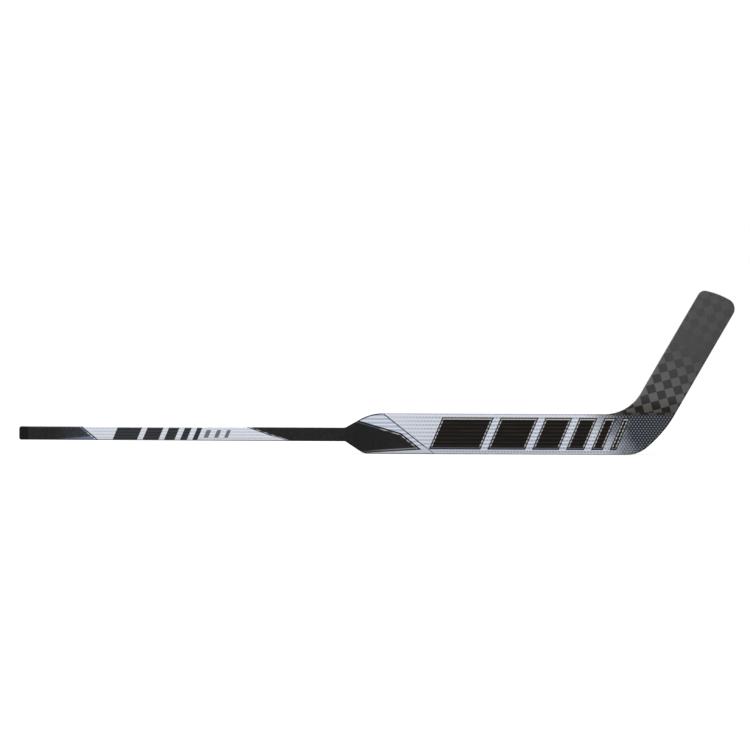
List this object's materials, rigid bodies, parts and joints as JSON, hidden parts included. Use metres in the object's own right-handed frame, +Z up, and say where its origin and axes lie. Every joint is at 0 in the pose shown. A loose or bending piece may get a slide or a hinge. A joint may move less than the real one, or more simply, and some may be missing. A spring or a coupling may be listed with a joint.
{
  "type": "hockey goalie stick",
  "caption": "Foam-core composite goalie stick: hollow handle, wide straight paddle, angled heel and a slightly curved blade, with printed films and a throat grip.",
  "frame": {"origin": "on the flat lower edge of the paddle, half way along the paddle and half way through its depth", "axes": "+X along the paddle towards the blade, +Z up from the lower edge of the paddle, -Y the front face towards which the toe curves"},
  "size_m": [1.5651, 0.0301, 0.3606],
  "materials": {
    "cap_plastic": "matte moulded plug",
    "carbon_laminate": "clear-coated black carbon laminate",
    "blade_weave": "spread-tow carbon weave under satin clear coat",
    "printed_film": "white printed film under clear coat",
    "grip_skin": "matte textured grip",
    "core_foam": "closed-cell foam",
    "heel_insert": "dense structural foam"
  },
  "bodies": {
    "root": {"butt_cap": "cap_plastic", "shaft_tube": "carbon_laminate", "shaft_tenon": "carbon_laminate", "shaft_film": "printed_film", "throat_grip": "grip_skin", "paddle_front_shell": "carbon_laminate", "paddle_back_shell": "carbon_laminate", "paddle_spine": "carbon_laminate", "paddle_core_upper": "core_foam", "paddle_core_lower": "core_foam", "paddle_film_front": "printed_film", "paddle_film_back": "printed_film", "heel_block": "heel_insert", "blade_front_skin": "blade_weave", "blade_back_skin": "blade_weave", "blade_rib": "carbon_laminate", "blade_core_upper": "core_foam", "blade_core_lower": "core_foam", "blade_core_toe": "core_foam"}
  },
  "joints": []
}
